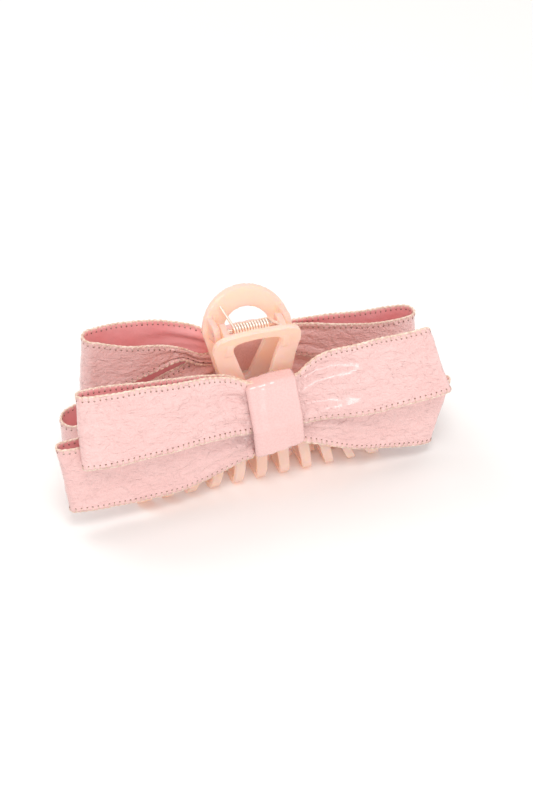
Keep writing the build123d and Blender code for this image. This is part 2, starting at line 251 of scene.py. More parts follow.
def cloth_backing():
    """The ribbons' inner side: a smooth pink backing with a fine woven grain; its deeper, redder pink
    than the outer cloth is painted shade for the insides of the loops.
    """
    material, tree, shader = new_material("ribbon_backing")
    place = object_coordinates(tree)
    tone = noise_texture(tree, place, 90, 4)
    # Deeper, redder pink than the outer cloth: the backing's own pink with painted shade of the loops'
    # insides.
    colour_between(
        tree, tone.outputs["Fac"], (1.0, 0.44, 0.45), (1.0, 0.51, 0.52), shader.inputs["Base Color"]
    )
    weave = noise_texture(tree, place, 1500, 2)
    map_range(tree, weave.outputs["Fac"], 0.4, 0.6, shader.inputs["Roughness"])
    tree.links.new(bump(tree, weave.outputs["Fac"], 0.2 * MM, 0.5), shader.inputs["Normal"])
    shader.inputs["Sheen Weight"].default_value = 0.15
    add_light_through(tree, shader, (1.0, 0.50, 0.47), 0.15)
    return material


def translucent_plastic():
    """Peach moulded plastic that glows where light comes through it, and casts a peach shadow."""
    material, tree, shader = new_material("peach_plastic")
    place = object_coordinates(tree)
    flow = noise_texture(tree, place, 35, 3, 0.8)
    colour_between(
        tree, flow.outputs["Fac"], (1.0, 0.79, 0.70), (1.0, 0.85, 0.78), shader.inputs["Base Color"]
    )
    skin = noise_texture(tree, place, 900, 3)
    map_range(tree, skin.outputs["Fac"], 0.13, 0.26, shader.inputs["Roughness"])
    ripples = noise_texture(tree, place, 160, 2)
    tree.links.new(bump(tree, ripples.outputs["Fac"], 0.3 * MM, 0.5), shader.inputs["Normal"])
    shader.inputs["IOR"].default_value = 1.49
    shader.inputs["Subsurface Weight"].default_value = 0.8
    shader.inputs["Subsurface Radius"].default_value = (0.012, 0.0055, 0.0034)
    shader.inputs["Subsurface Scale"].default_value = 1.0
    shader.inputs["Coat Weight"].default_value = 0.35
    shader.inputs["Coat Roughness"].default_value = 0.08
    lit = add_light_through(tree, shader, (1.0, 0.74, 0.58), 0.45)
    clear = tree.nodes.new("ShaderNodeBsdfTransparent")
    clear.inputs["Color"].default_value = (1.0, 0.64, 0.50, 1)
    ray = tree.nodes.new("ShaderNodeLightPath")
    shadow = tree.nodes.new("ShaderNodeMath")
    shadow.operation = "MULTIPLY"
    shadow.inputs[1].default_value = 0.85
    tree.links.new(ray.outputs["Is Shadow Ray"], shadow.inputs[0])
    cast = tree.nodes.new("ShaderNodeMixShader")
    tree.links.new(shadow.outputs["Value"], cast.inputs["Fac"])
    tree.links.new(lit.outputs["Shader"], cast.inputs[1])
    tree.links.new(clear.outputs["BSDF"], cast.inputs[2])
    tree.links.new(cast.outputs["Shader"], tree.nodes["Material Output"].inputs["Surface"])
    return material


def drawn_wire(name, low, high, rough_low, rough_high):
    """Drawn steel wire: fine streaks, dulled in places."""
    material, tree, shader = new_material(name)
    place = object_coordinates(tree)
    stretch = tree.nodes.new("ShaderNodeMapping")
    stretch.inputs["Scale"].default_value = (9, 1, 1)
    tree.links.new(place, stretch.inputs["Vector"])
    streaks = noise_texture(tree, stretch.outputs["Vector"], 500, 5)
    colour_between(tree, streaks.outputs["Fac"], low, high, shader.inputs["Base Color"])
    map_range(tree, streaks.outputs["Fac"], rough_low, rough_high, shader.inputs["Roughness"])
    tree.links.new(bump(tree, streaks.outputs["Fac"], 0.04 * MM, 0.4), shader.inputs["Normal"])
    shader.inputs["Metallic"].default_value = 1.0
    return material


def thread(name, low, high, sheen):
    """Twisted sewing thread with a soft sheen."""
    material, tree, shader = new_material(name)
    place = object_coordinates(tree)
    twist = noise_texture(tree, place, 900, 3)
    colour_between(tree, twist.outputs["Fac"], low, high, shader.inputs["Base Color"])
    map_range(tree, twist.outputs["Fac"], 0.5, 0.75, shader.inputs["Roughness"])
    tree.links.new(bump(tree, twist.outputs["Fac"], 0.15 * MM, 0.7), shader.inputs["Normal"])
    shader.inputs["Sheen Weight"].default_value = sheen
    return material


def needle_hole_shade():
    """Painted shade: a dark colour that stands for the shade at the bottom of a needle hole."""
    material, tree, shader = new_material("needle_hole_shade")
    place = object_coordinates(tree)
    hole_shade_noise = noise_texture(tree, place, 2500, 2)
    # Painted shade of the hole, in dark reds that vary at random.
    colour_between(
        tree, hole_shade_noise.outputs["Fac"], (0.15, 0.03, 0.02), (0.27, 0.08, 0.06), shader.inputs["Base Color"]
    )
    map_range(tree, hole_shade_noise.outputs["Fac"], 0.7, 0.95, shader.inputs["Roughness"])
    return material


def set_glue():
    """Cloudy hot-melt glue."""
    material, tree, shader = new_material("set_glue")
    place = object_coordinates(tree)
    cloud = noise_texture(tree, place, 220, 4)
    colour_between(
        tree, cloud.outputs["Fac"], (0.86, 0.74, 0.64), (0.92, 0.84, 0.76), shader.inputs["Base Color"]
    )
    map_range(tree, cloud.outputs["Fac"], 0.25, 0.45, shader.inputs["Roughness"])
    tree.links.new(bump(tree, cloud.outputs["Fac"], 0.5 * MM, 0.6), shader.inputs["Normal"])
    shader.inputs["Transmission Weight"].default_value = 0.3
    shader.inputs["Subsurface Weight"].default_value = 0.4
    shader.inputs["Subsurface Radius"].default_value = (0.003, 0.0025, 0.002)
    return material


# ---------------------------------------------------------------- mesh helpers

NOISE_SEED = 1


def new_piece(name, mesh, body, slot, nodes, *materials):
    """Put a finished mesh in the scene as one piece that rides on a body and stands for nodes."""
    piece = bpy.data.objects.new(name, mesh)
    bpy.context.collection.objects.link(piece)
    for material in materials:
        mesh.materials.append(material)
    for polygon in mesh.polygons:
        polygon.use_smooth = True
    if body is not None:
        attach(piece, body)
    if nodes:
        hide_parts(*nodes)
    return piece


def tube(points, radii, sides, closed=False, phase=0.0):
    """Vertices and faces of a round tube along a line of points, with flat caps on open ends."""
    points = [Vector(p) for p in points]
    count = len(points)
    vertices = []
    faces = []
    tangent = (points[1] - points[-1 if closed else 0]).normalized()
    across = tangent.orthogonal().normalized()
    for index, point in enumerate(points):
        ahead = points[(index + 1) % count] if closed else points[min(index + 1, count - 1)]
        behind = points[index - 1] if closed else points[max(index - 1, 0)]
        tangent = (ahead - behind).normalized()
        across = (across - tangent * across.dot(tangent)).normalized()
        up = tangent.cross(across)
        radius = radii[index] if hasattr(radii, "__len__") else radii
        for side in range(sides):
            angle = tau * side / sides + phase
            vertices.append(point + across * (cos(angle) * radius) + up * (sin(angle) * radius))
    for index in range(count if closed else count - 1):
        following = (index + 1) % count
        for side in range(sides):
            beside = (side + 1) % sides
            faces.append(
                (
                    index * sides + side,
                    index * sides + beside,
                    following * sides + beside,
                    following * sides + side,
                )
            )
    if not closed:
        faces.append(tuple(range(sides - 1, -1, -1)))
        faces.append(tuple((count - 1) * sides + side for side in range(sides)))
    return vertices, faces


def rounded_ends(points, radius, steps=4):
    """A line's points with a domed start and end, and the radius at each."""
    points = [Vector(p) for p in points]
    first = (points[0] - points[1]).normalized()
    last = (points[-1] - points[-2]).normalized()
    start = []
    finish = []
    for step in range(steps):
        angle = (step + 0.35) / steps * pi / 2
        start.append((points[0] + first * radius * cos(angle), radius * sin(angle)))
        finish.append((points[-1] + last * radius * cos(angle), radius * sin(angle)))
    line = [p for p, _ in start] + points + [p for p, _ in reversed(finish)]
    radii = [r for _, r in start] + [radius] * len(points) + [r for _, r in reversed(finish)]
    return line, radii


class MeshSum:
    """Several simple meshes gathered into one, with a material index for each."""

    def __init__(self):
        self.vertices = []
        self.faces = []
        self.kinds = []

    def add(self, vertices, faces, kind=0):
        base = len(self.vertices)
        self.vertices.extend(vertices)
        self.faces.extend(tuple(base + i for i in face) for face in faces)
        self.kinds.extend([kind] * len(faces))

    def mesh(self, name):
        mesh = bpy.data.meshes.new(name)
        mesh.from_pydata([tuple(v) for v in self.vertices], [], self.faces)
        mesh.polygons.foreach_set("material_index", self.kinds)
        mesh.update()
        return mesh


def remeshed_copy(node, name, voxel, rounds, wobble=0.0):
    """A CAD node's shape with its sharp edges rounded, as a new mesh."""
    source = bpy.data.objects.new(name + "_source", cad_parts[node].data.copy())
    bpy.context.collection.objects.link(source)
    remesh = source.modifiers.new("remesh", "REMESH")
    remesh.mode = "VOXEL"
    remesh.voxel_size = voxel
    soften = source.modifiers.new("soften", "SMOOTH")
    soften.factor = 0.5
    soften.iterations = rounds
    bpy.context.view_layer.update()
    made = source.evaluated_get(bpy.context.evaluated_depsgraph_get())
    mesh = bpy.data.meshes.new_from_object(made)
    bpy.data.objects.remove(source)
    mesh.materials.clear()
    mesh.name = name
    if wobble:
        for vertex in mesh.vertices:
            vertex.co += noise.noise_vector(vertex.co * 250) * wobble
    return mesh


# ---------------------------------------------------------------- ribbons

CLOTH_T = 0.75 * MM
CAD_CLOTH_T = 0.9
KNOT_HALF = 9.0 * MM
GRID = 0.8 * MM
STITCH_PITCH = 2.05 * MM
ROPE_R = 0.42 * MM
HOLE_IN = 1.45 * MM
HOLE_R = 0.42 * MM
ROPE_POINTS_PER_STITCH = 4
ROPE_SWAY = 0.10 * MM
ROPE_ROLL = 0.08 * MM
ROPE_SWELL = 0.16
CROSS_THREAD_R = 0.15 * MM
STITCH_LIFT = 0.05 * MM
LAYER_STEPS = 40
FOLD_STEPS = 10
LAYER_GAP_IN_KNOT = 0.6
KNOT_FLAT = 0.55
KNOT_BLEND = 0.4
SURFACE_STEP = 0.3 * MM
SURFACE_STEP_ACROSS = 0.02
ROPE_SIDES = 8
CROSS_THREAD_SIDES = 5
HOLE_SIDES = 7

PLEATS = 2.2
FINE_PLEATS = 4.1
FINE_PLEAT_SHARE = 0.5
PLEAT_DEPTH = 0.6 * MM
PLEAT_START = 3 * MM
PLEAT_RUN = 30 * MM
GATHER_DEPTH = 0.14 * MM
GATHER_RUN = 6 * MM
FREE_RUN = 10 * MM
RELIEF_IN_KNOT = 0.1

# Relief in the cloth: its depth, then how fast it changes along (a metre) and across (a width),
# how much it leans, and how its seed is spread.
SWELL = 0.7 * MM
SWELL_RATES = (42, 1.6, 0, 7.3)
WAVE = 0.3 * MM
WAVE_RATES = (120, 3.4, 0, 5.1)
RIDGE = 0.13 * MM
RIDGE_RATES = (210, 8.0, 25, 3.1)
CRINKLE = 0.14 * MM
CRINKLE_RATES = (520, 15.0, -60, 9.7)


def smooth(t):
    """Smooth step from 0 to 1."""
    t = min(max(t, 0.0), 1.0)
    return t * t * (3 - 2 * t)


def hermite(a, b, tangent_a, tangent_b, t):
    """A point on a cubic between two points, with end tangents."""
    t2 = t * t
    t3 = t2 * t
    return (
        a * (2 * t3 - 3 * t2 + 1)
        + tangent_a * (t3 - 2 * t2 + t)
        + b * (3 * t2 - 2 * t3)
        + tangent_b * (t3 - t2)
    )


def edge_height(points, t):
    """The height of a long edge at a share of the way out, smooth through its given points."""
    shares = [share for share, _ in points]
    heights = [z * MM for _, z in points]
    rises = [(b - a) / (d - c) for a, b, c, d in zip(heights, heights[1:], shares, shares[1:])]
    slopes = [rises[0]] + [(a + b) / 2 for a, b in zip(rises, rises[1:])] + [0.0]
    t = min(max(t, 0.0), 1.0)
    index = min(int(np.searchsorted(shares, t, side="right")) - 1, len(rises) - 1)
    run = shares[index + 1] - shares[index]
    return hermite(
        heights[index],
        heights[index + 1],
        slopes[index] * run,
        slopes[index + 1] * run,
        (t - shares[index]) / run,
    )


class Loop:
    """One side's loop: its fold, its two layers' depths, and its long edges, in millimetres.

    The long edges are (share of the way out, height) points. The layer nearest the jaw may have
    edges of its own, where it is squeezed on its way into the knot.
    """

    def __init__(
        self, end_x, slant, depths, widest_at, fold, low, high, near_low=None, near_high=None
    ):
        self.end_x = end_x * MM
        self.slant = slant
        self.near = (depths[0] + CAD_CLOTH_T / 2) * MM
        self.far = (depths[1] - CAD_CLOTH_T / 2) * MM
        self.widest_at = widest_at
        self.fold_depth = fold[0] * MM
        self.fold_r = (fold[1] - CAD_CLOTH_T / 2) * MM
        self.low = low
        self.high = high
        self.near_low = near_low or low
        self.near_high = near_high or high
        self.middle_z = (low[-1][1] + high[-1][1]) / 2 * MM


class Strip:
    """A ribbon: a closed band of cloth, gathered at the knot and folded back at both far ends."""

    def __init__(self, name, body, side, knot, pinch_depth, lean, left, right, seed):
        self.name = name
        self.body = body
        self.side = side
        self.knot_x, self.knot_low, self.knot_high = (value * MM for value in knot)
        self.pinch_depth = pinch_depth * MM
        self.lean = lean
        self.loops = {-1: left, 1: right}
        heights = [z for loop in (left, right) for _, z in loop.low + loop.high]
        self.base_z = (min(heights) - 1) * MM
        self.seed = seed
        self.path, self.layers = self.plan_path()
        self.lengths = [0.0]
        for a, b in zip(self.path, self.path[1:]):
            self.lengths.append(self.lengths[-1] + (b - a).length)
        ends = [(loop.low[-1][1], loop.high[-1][1]) for loop in (left, right)]
        self.width = max(high - low for low, high in ends) * MM

    def layer(self, direction, is_far):
        """One layer in plan, from the knot out to the fold, as (x, depth) points."""
        loop = self.loops[direction]
        sign = 1 if is_far else -1
        depth = loop.far if is_far else loop.near
        root_x = self.knot_x + direction * KNOT_HALF
        start = Vector((root_x, self.pinch_depth + sign * CLOTH_T * LAYER_GAP_IN_KNOT))
        middle = Vector((root_x + (loop.end_x - root_x) * loop.widest_at, depth))
        end = Vector((loop.end_x - direction * loop.fold_r, loop.fold_depth + sign * loop.fold_r))
        first = Vector((middle.x - start.x, 0))
        second = Vector((end.x - middle.x, 0))
        last = Vector((second.x, -sign * abs(second.x) * 0.2))
        points = [hermite(start, middle, first, first, i / LAYER_STEPS) for i in range(LAYER_STEPS)]
        return points + [
            hermite(middle, end, second, last, i / LAYER_STEPS) for i in range(LAYER_STEPS + 1)
        ]

    def loop_path(self, direction, far_first):
        """Out along one layer, round the fold and back along the other."""
        loop = self.loops[direction]
        going = self.layer(direction, far_first)
        coming = self.layer(direction, not far_first)[::-1]
        sign = 1 if far_first else -1
        turn = []
        for step in range(1, FOLD_STEPS):
            angle = pi * step / FOLD_STEPS
            turn.append(
                Vector(
                    (
                        loop.end_x - direction * loop.fold_r * (1 - sin(angle)),
                        loop.fold_depth + sign * loop.fold_r * cos(angle),
                    )
                )
            )
        turning = [k / FOLD_STEPS for k in range(1, FOLD_STEPS)]
        shares = [0.0] * len(going) + turning + [1.0] * len(coming)
        if far_first:
            shares = [1 - share for share in shares]
        return going + turn + coming, shares

    def plan_path(self):
        """The whole strip in plan, and how near the jaw each point's layer is (1 near, 0 far)."""
        left, left_near = self.loop_path(-1, True)
        right, right_near = self.loop_path(1, False)
        near = [1 - share for share in left_near] + [1 - share for share in right_near]
        path = left + right
        return path + [path[0]], near + [near[0]]

    def plan_at(self, s):
        """The plan point, its sideways direction and its nearness to the jaw, at a length along."""
        s = s % self.lengths[-1]
        index = min(int(np.searchsorted(self.lengths, s, side="right")) - 1, len(self.path) - 2)
        a, b = self.path[index], self.path[index + 1]
        share = (s - self.lengths[index]) / max(self.lengths[index + 1] - self.lengths[index], 1e-9)
        along = (b - a).normalized()
        near = self.layers[index] + (self.layers[index + 1] - self.layers[index]) * share
        return a.lerp(b, share), Vector((along.y, -along.x)), near

    def edges_at(self, x, near):
        """Share of the way out, and the heights of both long edges, at a plan point."""
        direction = 1 if x > self.knot_x else -1
        loop = self.loops[direction]
        root_x = self.knot_x + direction * KNOT_HALF
        share = (x - root_x) / (loop.end_x - root_x)
        low = edge_height(loop.low, share)
        low += (edge_height(loop.near_low, share) - low) * near
        high = edge_height(loop.high, share)
        high += (edge_height(loop.near_high, share) - high) * near
        within = 1 - smooth((abs(x - self.knot_x) / KNOT_HALF - KNOT_FLAT) / KNOT_BLEND)
        low += (self.knot_low - low) * within
        high += (self.knot_high - high) * within
        return share, low, high

    def relief(self, s, v, rates):
        """One field of relief, between about -0.5 and 0.5, at a place on the strip."""
        along, across, lean, spread = rates
        return noise.noise(Vector((s * along, v * across + s * lean, self.seed * spread)))

    def point(self, s, v):
        """A point of the strip's middle surface: s along it, v from bottom (0) to top (1)."""
        plan, aside, near = self.plan_at(s)
        share, low, high = self.edges_at(plan.x, near)
        loop = self.loops[1 if plan.x > self.knot_x else -1]
        z = low + (high - low) * v
        out = max(abs(plan.x - self.knot_x) - KNOT_HALF, 0.0)
        fan = smooth(out / PLEAT_START) * (1 - smooth((out - PLEAT_START) / PLEAT_RUN))
        gathered = 1 - smooth(out / GATHER_RUN)
        turns = self.seed + loop.end_x * 30
        folds = sin(v * tau * PLEATS + turns)
        folds += FINE_PLEAT_SHARE * sin(v * tau * FINE_PLEATS + turns * 2.3 + out * 40)
        nested = 2 * near - 1
        shift = folds * (PLEAT_DEPTH * fan + GATHER_DEPTH * gathered) * nested
        free = smooth(out / FREE_RUN)
        swell = self.relief(s, v, SWELL_RATES)
        wave = self.relief(s, v, WAVE_RATES)
        ridge = 0.5 - abs(self.relief(s, v, RIDGE_RATES))
        crinkle = self.relief(s, v, CRINKLE_RATES)
        shift += (swell * SWELL + wave * WAVE) * free
        shown = RELIEF_IN_KNOT + (1 - RELIEF_IN_KNOT) * free
        shift += (ridge * RIDGE + crinkle * CRINKLE) * shown
        x = plan.x + loop.slant * (z - loop.middle_z) * smooth(share)
        y = self.side * plan.y - self.side * self.lean * (z - self.base_z)
        return Vector((x + aside.x * shift, y + self.side * aside.y * shift, z))

    def frame_at(self, s, v):
        """A surface point with its unit directions along, across and out of the cloth."""
        here = self.point(s, v)
        ahead, behind = self.point(s + SURFACE_STEP, v), self.point(s - SURFACE_STEP, v)
        above = self.point(s, min(v + SURFACE_STEP_ACROSS, 1))
        below = self.point(s, max(v - SURFACE_STEP_ACROSS, 0))
        along = (ahead - behind).normalized()
        across = (above - below).normalized()
        return here, along, across, along.cross(across).normalized()


def cloth_mesh(strip):
    """The strip as a closed thin sheet with both faces and all edges."""
    total = strip.lengths[-1]
    columns = int(total / GRID)
    rows = int(strip.width / GRID)
    middle = np.zeros((columns, rows + 1, 3))
    for i in range(columns):
        for j in range(rows + 1):
            middle[i, j] = strip.point(total * i / columns, j / rows)
    along = np.roll(middle, -1, 0) - np.roll(middle, 1, 0)
    across = np.gradient(middle, axis=1)
    out = np.cross(along, across)
    out /= np.linalg.norm(out, axis=2, keepdims=True)
    faces = []
    layers = [middle + out * CLOTH_T / 2, middle - out * CLOTH_T / 2]
    vertices = np.concatenate([layer.reshape(-1, 3) for layer in layers])
    size = columns * (rows + 1)
    for i in range(columns):
        following = (i + 1) % columns
        for j in range(rows):
            a, b = i * (rows + 1) + j, following * (rows + 1) + j
            faces.append((a, b, b + 1, a + 1))
            faces.append((size + a, size + a + 1, size + b + 1, size + b))
        low, low_next = i * (rows + 1), following * (rows + 1)
        high, high_next = low + rows, low_next + rows
        faces.append((low, size + low, size + low_next, low_next))
        faces.append((high, high_next, size + high_next, size + high))
    mesh = bpy.data.meshes.new(strip.name)
    mesh.from_pydata(vertices.tolist(), [], faces)
    # The faces inside the loops take the backing, whose deeper pink is painted shade.
    inside = [0, 1] if strip.side * strip_turn(strip) > 0 else [1, 0]
    kinds = (inside * rows + [0, 0]) * columns
    mesh.polygons.foreach_set("material_index", kinds)
    mesh.update()
    return mesh


def strip_turn(strip):
    """Which way round the plan runs: 1 anticlockwise, -1 clockwise."""
    area = sum(a.x * b.y - b.x * a.y for a, b in zip(strip.path, strip.path[1:]))
    return 1 if area > 0 else -1


def edge_mesh(strip, upper):
    """The overlocked rope along one long edge, its cross threads and its needle holes."""
    total = strip.lengths[-1]
    stitches = int(total / STITCH_PITCH)
    per_stitch = ROPE_POINTS_PER_STITCH
    edge_v = 1.0 if upper else 0.0
    toward = -1 if upper else 1
    made = MeshSum()
    line = []
    radii = []
    for index in range(stitches * per_stitch):
        s = total * index / (stitches * per_stitch)
        here, along, across, out = strip.frame_at(s, edge_v)
        turn = tau * index / per_stitch
        line.append(here + out * (ROPE_SWAY * cos(turn)) + across * (ROPE_ROLL * sin(turn)))
        radii.append(ROPE_R * (1 + ROPE_SWELL * cos(turn)))
    made.add(*tube(line, radii, ROPE_SIDES, closed=True))
    for index in range(stitches):
        s = total * (index + 0.5) / stitches
        plan, _, near = strip.plan_at(s)
        _, low, high = strip.edges_at(plan.x, near)
        width = high - low
        inner_v = edge_v + toward * HOLE_IN / width
        middle_v = edge_v + toward * HOLE_IN * 0.5 / width
        edge, _, _, edge_out = strip.frame_at(s, edge_v)
        half, _, _, half_out = strip.frame_at(s, middle_v)
        hole, along, across, out = strip.frame_at(s, inner_v)
        for face in (1, -1):
            lift = face * (CLOTH_T / 2 + STITCH_LIFT)
            bar = [
                edge + edge_out * face * (ROPE_R * 0.9),
                half + half_out * (lift + face * 0.08 * MM),
                hole + out * (lift - face * 0.05 * MM),
            ]
            made.add(*tube(bar, CROSS_THREAD_R, CROSS_THREAD_SIDES))
            seat = hole + out * (lift - face * 0.03 * MM)
            # The needle holes are plugs in the dark painted-shade material.
            made.add(*needle_dimple(seat, along, across, out * face), 1)
    return made.mesh(f"{strip.name}_{'top' if upper else 'bottom'}_overlock")


def needle_dimple(centre, along, across, out):
    """A shallow oval plug seated in the surface, carrying the painted shade of a needle hole."""
    sides = HOLE_SIDES
    vertices = [centre + out * 0.05 * MM]
    for radius, height in ((0.75, 0.02), (1.0, -0.08)):
        for side in range(sides):
            angle = tau * side / sides
            vertices.append(
                centre
                + along * (cos(angle) * HOLE_R * radius * 0.9)
                + across * (sin(angle) * HOLE_R * radius)
                + out * height * MM
            )
    faces = [(0, 1 + side, 1 + (side + 1) % sides) for side in range(sides)]
    for side in range(sides):
        beside = (side + 1) % sides
        faces.append((1 + side, 1 + sides + side, 1 + sides + beside, 1 + beside))
    faces.append(tuple(range(2 * sides, sides, -1)))
    return vertices, faces


FRONT_KNOT_X = 3.6
REAR_KNOT_X = 0.0
STRIPS = [
    Strip(
        "front_upper", FRONT_BODY, -1, (FRONT_KNOT_X, 33.4, 50.0), 18.9, 0.26,
        Loop(
            -69.5, 0.04, (21.4, 25.5), 0.55, (23.4, 2.2),
            low=[(0, 31.8), (0.3, 34.0), (1, 34.2)],
            high=[(0, 50.5), (0.12, 55.0), (0.45, 59.3), (1, 61.8)],
        ),
        Loop(
            67.0, -0.3, (21.9, 25.5), 0.55, (23.6, 2.0),
            low=[(0, 31.0), (0.3, 32.2), (1, 35.6)],
            high=[(0, 50.0), (0.12, 55.5), (0.45, 60.7), (1, 62.3)],
            near_high=[(0, 50.0), (0.12, 53.0), (0.45, 57.5), (1, 59.8)],
        ),
        0.7,
    ),
    Strip(
        "front_lower", FRONT_BODY, -1, (FRONT_KNOT_X, 24.0, 39.0), 15.7, 0.04,
        Loop(
            -76.0, -0.09, (14.2, 18.6), 0.55, (16.4, 2.2),
            low=[(0, 16.5), (0.12, 13.6), (0.4, 9.8), (1, 10.8)],
            high=[(0, 39.2), (0.3, 38.8), (1, 40.0)],
        ),
        Loop(
            70.2, 0.24, (14.2, 18.6), 0.55, (16.4, 2.2),
            low=[(0, 20.8), (0.12, 18.2), (0.4, 12.6), (0.8, 8.8), (1, 7.4)],
            high=[(0, 39.2), (0.3, 37.6), (1, 35.0)],
        ),
        2.9,
    ),
    Strip(
        "rear_upper", REAR_BODY, 1, (REAR_KNOT_X, 38.5, 51.5), 15.8, 0.0,
        Loop(
            -60.0, 0.08, (9.4, 24.8), 0.5, (18.0, 4.6),
            low=[(0, 38.5), (0.3, 38.0), (0.6, 35.4), (1, 34.0)],
            high=[(0, 52.0), (0.15, 56.5), (0.5, 58.3), (1, 61.0)],
            near_low=[(0, 38.5), (0.14, 41.5), (0.28, 46.6), (0.45, 45.8), (0.7, 41.2), (1, 34.0)],
            near_high=[(0, 44.5), (0.12, 45.5), (0.28, 52.0), (0.42, 56.0), (0.75, 58.6), (1, 61.0)],
        ),
        Loop(
            67.6, 0.0, (3.2, 12.8), 0.72, (7.8, 4.4),
            low=[(0, 38.5), (0.25, 38.4), (0.45, 35.6), (0.7, 30.6), (1, 26.4)],
            high=[(0, 51.0), (0.15, 52.6), (0.5, 53.0), (1, 52.4)],
        ),
        4.4,
    ),
    Strip(
        "rear_lower", REAR_BODY, 1, (REAR_KNOT_X, 24.0, 41.0), 15.8, 0.0,
        Loop(
            -69.2, 0.0, (14.4, 25.8), 0.5, (17.6, 6.2),
            low=[(0, 23.0), (0.3, 14.0), (0.6, 7.5), (1, 2.0)],
            high=[(0, 43.0), (0.12, 42.6), (0.3, 39.8), (0.6, 32.5), (1, 25.0)],
        ),
        Loop(
            72.0, 0.0, (14.4, 25.8), 0.5, (19.0, 5.2),
            low=[(0, 23.0), (0.3, 15.0), (0.6, 9.0), (1, 4.0)],
            high=[(0, 43.0), (0.24, 41.2), (0.42, 36.4), (0.6, 33.4), (1, 28.2)],
        ),
        5.8,
    ),
]


def make_ribbons(cloth, backing, rope, hole):
    """Every ribbon strip and its two stitched edges."""
    for strip in STRIPS:
        node = f"{strip.name}_ribbon"
        mesh = cloth_mesh(strip)
        name = f"{strip.name}_bow_strip"
        piece = new_piece(name, mesh, strip.body, "ribbon_patent", [node], cloth, backing)
        for upper in (True, False):
            label = "top" if upper else "bottom"
            new_piece(
                    f"{strip.name}_{label}_overlock",
                    edge_mesh(strip, upper),
                    strip.body,
                    "edge_thread",
                    [f"{strip.name}_{label}_edge_stitching"],
                    rope,
                    hole,
                )


# ---------------------------------------------------------------- bow centres

WRAP_HALF_W = 9.6 * MM
WRAP_T = 0.8 * MM
WRAP_GAP = 0.8 * MM
WRAP_CROWN = 0.55 * MM
WRAP_ROLL = 0.55 * MM
WRAP_CREASE = 0.3 * MM
WRAP_FINE_CREASE = 0.1 * MM
WRAP_LEAN = -0.085
WRAP_RISE = 0.13
WRAP_TWIST = -0.003
WRAP_COLUMNS = 30
WRAP_STEP = 0.6 * MM
THREAD_R = 0.28 * MM
THREAD_GAP = 0.4 * MM
THREAD_TURNS = 5
THREAD_BAND = 2.6 * MM
THREAD_STEP = 0.8 * MM
THREAD_SIDES = 8
CORNER_STEPS = 8
GLUE_VOXEL = 0.35 * MM
GLUE_ROUNDS = 6
GLUE_WOBBLE = 0.12 * MM
BUNDLES = {
    "front": (
        FRONT_BODY, -1, FRONT_KNOT_X,
        [(11.9, 49.4), (15.2, 49.2), (20.2, 34.0), (19.8, 23.4), (13.4, 22.6)],
    ),
    "rear": (
        REAR_BODY, 1, REAR_KNOT_X,
        [(14.5, 52.3), (17.1, 52.3), (18.2, 36.0), (17.8, 22.0), (14.5, 22.0)],
    ),
}


def grown_outline(corners, side, grow, step):
    """A closed outline in the side view, grown outward with round corners, evenly spaced."""
    points = [Vector((side * depth, height)) * MM for depth, height in corners]
    area = sum(a.x * b.y - b.x * a.y for a, b in zip(points, points[1:] + points[:1]))
    if area < 0:
        points.reverse()
    raw = []
    count = len(points)
    for index, corner in enumerate(points):
        before = (corner - points[index - 1]).normalized()
        after = (points[(index + 1) % count] - corner).normalized()
        first = atan2(-before.x, before.y)
        last = atan2(-after.x, after.y)
        turn = (last - first) % tau
        for k in range(CORNER_STEPS + 1):
            angle = first + turn * k / CORNER_STEPS
            raw.append(corner + Vector((cos(angle), sin(angle))) * grow)
    raw.append(raw[0])
    lengths = np.concatenate([[0], np.cumsum([(b - a).length for a, b in zip(raw, raw[1:])])])
    samples = max(24, int(lengths[-1] / step))
    places = np.arange(samples) * lengths[-1] / samples
    ys = np.interp(places, lengths, [p.x for p in raw])
    zs = np.interp(places, lengths, [p.y for p in raw])
    return [Vector((y, z)) for y, z in zip(ys, zs)], lengths[-1]


def wrap_mesh(place, side, knot_x, corners):
    """A plain strip wound round the bow's middle, its long sides turned in and rounded."""
    outline, girth = grown_outline(corners, side, WRAP_GAP + WRAP_T / 2, WRAP_STEP)
    count = len(outline)
    columns = WRAP_COLUMNS
    heights = [p.y for p in outline]
    middle_z = (max(heights) + min(heights)) / 2
    vertices = []
    faces = []
    for face in (1, -1):
        for i, point in enumerate(outline):
            tangent = (outline[(i + 1) % count] - outline[i - 1]).normalized()
            normal = Vector((tangent.y, -tangent.x))
            for j in range(columns + 1):
                share = 2 * j / columns - 1
                x = share * WRAP_HALF_W
                crown = WRAP_CROWN * (1 - share**2)
                roll = -WRAP_ROLL * smooth((abs(share) - 0.86) / 0.14)
                crease = noise.noise(Vector((x * 420, i * 0.035, side * 3.0))) * WRAP_CREASE
                crease += noise.noise(Vector((x * 900, i * 0.09, side * 9.0))) * WRAP_FINE_CREASE
                thin = 1 - 0.75 * smooth((abs(share) - 0.93) / 0.07)
                out = crown + roll + crease * (1 - abs(share) ** 6) + face * WRAP_T / 2 * thin
                flat = point + normal * out
                above = flat.y - middle_z
                skew_x = WRAP_LEAN * above
                skew_z = (WRAP_RISE + WRAP_TWIST * above / MM) * x
                vertices.append(Vector((knot_x * MM + x + skew_x, flat.x, flat.y + skew_z)))
    width = columns + 1
    size = count * width
    for i in range(count):
        following = (i + 1) % count
        for j in range(columns):
            a, b = i * width + j, following * width + j
            faces.append((a, a + 1, b + 1, b))
            faces.append((size + a, size + b, size + b + 1, size + a + 1))
        for j, flip in ((0, False), (columns, True)):
            a, b = i * width + j, following * width + j
            face = (a, b, size + b, size + a)
            faces.append(face[::-1] if flip else face)
    mesh = bpy.data.meshes.new(f"{place}_wrap")
    mesh.from_pydata([tuple(v) for v in vertices], [], faces)
    mesh.update()
    return mesh, girth


